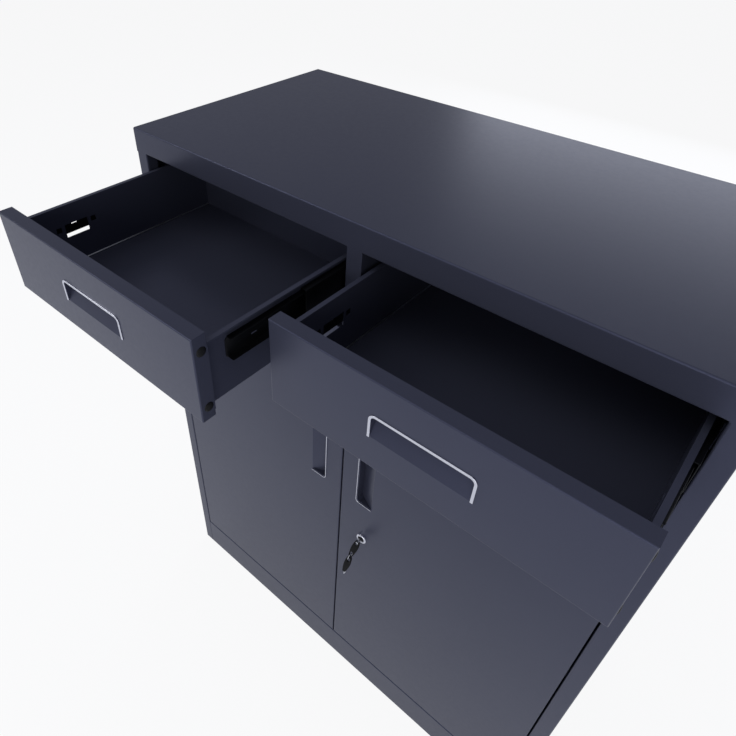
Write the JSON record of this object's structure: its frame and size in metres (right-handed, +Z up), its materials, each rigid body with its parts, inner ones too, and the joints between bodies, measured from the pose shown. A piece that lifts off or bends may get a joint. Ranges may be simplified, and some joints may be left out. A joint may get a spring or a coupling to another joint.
{
  "type": "steel storage cabinet",
  "caption": "Steel office cabinet with drawers on ball slides side by side above a cupboard with hinged doors, scooped finger pulls and a cam lock with keys.",
  "frame": {"origin": "middle of the closed cabinet's footprint, on the floor", "axes": "+Z up, the front faces -Y, +X to the right as seen from the front"},
  "size_m": [0.8, 0.6092, 1],
  "materials": {
    "steel": "satin blue-grey powder coat",
    "slide": "black zinc plated slide steel",
    "balls": "ball cages and balls, bright steel",
    "chrome": "bright chromed trim and lock",
    "zinc": "zinc plated steel",
    "black_plastic": "moulded black plastic",
    "nylon": "black nylon"
  },
  "bodies": {
    "carcass": {"left_side_panel": "steel", "right_side_panel": "steel", "top_panel": "steel", "back_panel": "steel", "base_panel": "steel", "drawer_deck": "steel", "door_stop": "steel", "centre_partition": "steel", "slide_brackets": "steel", "shelf": "steel", "shelf_clips": "zinc", "door_pivots": "steel", "left_drawer_left_outer_rail": "slide", "left_drawer_right_outer_rail": "slide", "right_drawer_left_outer_rail": "slide", "right_drawer_right_outer_rail": "slide"},
    "left_drawer": {"left_drawer_front": "steel", "left_drawer_tray": "steel", "left_drawer_left_wall": "steel", "left_drawer_right_wall": "steel", "left_drawer_handle_trim": "chrome", "left_drawer_plugs": "black_plastic", "left_drawer_left_inner_rail": "slide", "left_drawer_right_inner_rail": "slide"},
    "left_drawer_middle_rails": {"left_drawer_left_middle_rail": "slide", "left_drawer_right_middle_rail": "slide"},
    "left_drawer_outer_cages": {"left_drawer_outer_ball_cages": "balls"},
    "left_drawer_inner_cages": {"left_drawer_inner_ball_cages": "balls"},
    "right_drawer": {"right_drawer_front": "steel", "right_drawer_tray": "steel", "right_drawer_left_wall": "steel", "right_drawer_right_wall": "steel", "right_drawer_handle_trim": "chrome", "right_drawer_plugs": "black_plastic", "right_drawer_left_inner_rail": "slide", "right_drawer_right_inner_rail": "slide"},
    "right_drawer_middle_rails": {"right_drawer_left_middle_rail": "slide", "right_drawer_right_middle_rail": "slide"},
    "right_drawer_outer_cages": {"right_drawer_outer_ball_cages": "balls"},
    "right_drawer_inner_cages": {"right_drawer_inner_ball_cages": "balls"},
    "left_door": {"left_door_skin": "steel", "left_door_stiffener": "steel", "left_door_handle_trim": "chrome", "left_door_bushes": "nylon", "bolt_guide": "zinc"},
    "right_door": {"right_door_skin": "steel", "right_door_stiffener": "steel", "right_door_handle_trim": "chrome", "right_door_bushes": "nylon", "lock_barrel": "chrome", "lock_nut": "zinc"},
    "bolt": {"door_bolt": "zinc"},
    "lock_plug": {"lock_plug": "chrome", "lock_cam": "zinc", "cam_screw": "zinc", "door_key": "zinc"},
    "key_bow": {"key_bow": "black_plastic"},
    "spare_key": {"key_ring": "zinc", "spare_key": "black_plastic"}
  },
  "joints": [
    {"name": "left_drawer_slide", "type": "slide", "parent": "carcass", "child": "left_drawer", "axis": [0, -1, 0], "range_m": [-0.218, 0.032]},
    {"name": "left_drawer_middle_slide", "type": "slide", "parent": "carcass", "child": "left_drawer_middle_rails", "axis": [0, -1, 0], "range_m": [-0.109, 0.016]},
    {"name": "left_drawer_outer_cage_slide", "type": "slide", "parent": "carcass", "child": "left_drawer_outer_cages", "axis": [0, -1, 0], "range_m": [-0.0545, 0.008]},
    {"name": "left_drawer_inner_cage_slide", "type": "slide", "parent": "carcass", "child": "left_drawer_inner_cages", "axis": [0, -1, 0], "range_m": [-0.1635, 0.024]},
    {"name": "right_drawer_slide", "type": "slide", "parent": "carcass", "child": "right_drawer", "axis": [0, -1, 0], "range_m": [-0.148, 0.102]},
    {"name": "right_drawer_middle_slide", "type": "slide", "parent": "carcass", "child": "right_drawer_middle_rails", "axis": [0, -1, 0], "range_m": [-0.074, 0.051]},
    {"name": "right_drawer_outer_cage_slide", "type": "slide", "parent": "carcass", "child": "right_drawer_outer_cages", "axis": [0, -1, 0], "range_m": [-0.037, 0.0255]},
    {"name": "right_drawer_inner_cage_slide", "type": "slide", "parent": "carcass", "child": "right_drawer_inner_cages", "axis": [0, -1, 0], "range_m": [-0.111, 0.0765]},
    {"name": "left_door_hinge", "type": "hinge", "parent": "carcass", "child": "left_door", "pos_m": [-0.3625, -0.188, 0], "axis": [0, 0, -1], "range_deg": [0, 110]},
    {"name": "right_door_hinge", "type": "hinge", "parent": "carcass", "child": "right_door", "pos_m": [0.3625, -0.188, 0], "axis": [0, 0, 1], "range_deg": [0, 110]},
    {"name": "bolt_slide", "type": "slide", "parent": "left_door", "child": "bolt", "axis": [0, 0, 1], "range_m": [0, 0.016]},
    {"name": "lock_turn", "type": "hinge", "parent": "right_door", "child": "lock_plug", "pos_m": [0.0485, -0.195, 0.459], "axis": [0, -1, 0], "range_deg": [0, 90]},
    {"name": "key_bow_fold", "type": "hinge", "parent": "lock_plug", "child": "key_bow", "pos_m": [0.0485, -0.2085, 0.459], "axis": [1, 0, 0], "range_deg": [-45, 30]},
    {"name": "spare_key_swing", "type": "hinge", "parent": "key_bow", "child": "spare_key", "pos_m": [0.0485, -0.22229, 0.44521], "axis": [1, 0, 0], "range_deg": [-30, 15]}
  ],
  "couplings": [
    {"joint": "left_drawer_middle_slide", "follows": "left_drawer_slide", "ratio": 0.5},
    {"joint": "left_drawer_outer_cage_slide", "follows": "left_drawer_slide", "ratio": 0.25},
    {"joint": "left_drawer_inner_cage_slide", "follows": "left_drawer_slide", "ratio": 0.75},
    {"joint": "right_drawer_middle_slide", "follows": "right_drawer_slide", "ratio": 0.5},
    {"joint": "right_drawer_outer_cage_slide", "follows": "right_drawer_slide", "ratio": 0.25},
    {"joint": "right_drawer_inner_cage_slide", "follows": "right_drawer_slide", "ratio": 0.75}
  ]
}
